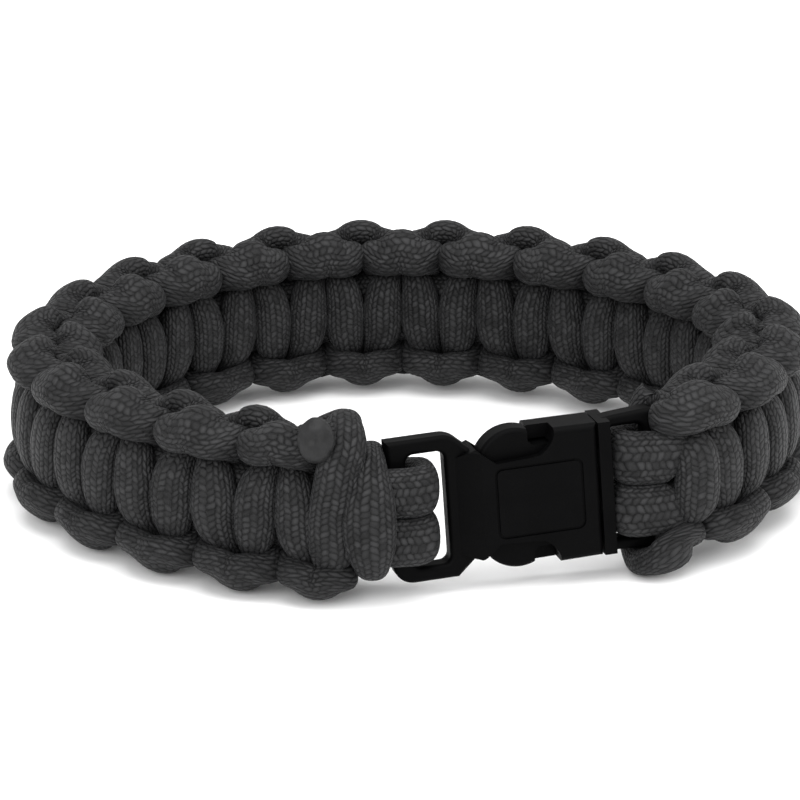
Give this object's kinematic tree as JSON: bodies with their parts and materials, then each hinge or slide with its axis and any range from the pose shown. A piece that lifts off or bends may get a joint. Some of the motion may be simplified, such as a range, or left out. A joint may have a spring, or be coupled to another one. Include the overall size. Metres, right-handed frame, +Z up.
{
  "type": "paracord bracelet",
  "caption": "Black woven paracord bracelet, cobra weave, closed with a plastic side-release buckle",
  "frame": {"origin": "middle of the footprint of the closed loop, on the floor that the band's lower edge stands on", "axes": "x along the longer way across the loop, y across it with the buckle on the -y side, z up, along the width of the band"},
  "size_m": [0.0908, 0.0814, 0.0207],
  "materials": {
    "cord": "matte",
    "buckle": "satin"
  },
  "bodies": {
    "root": {"outer_lacing": "cord", "inner_lacing": "cord", "core_cord": "cord", "buckle_socket": "buckle", "buckle_plug": "buckle"}
  },
  "joints": []
}
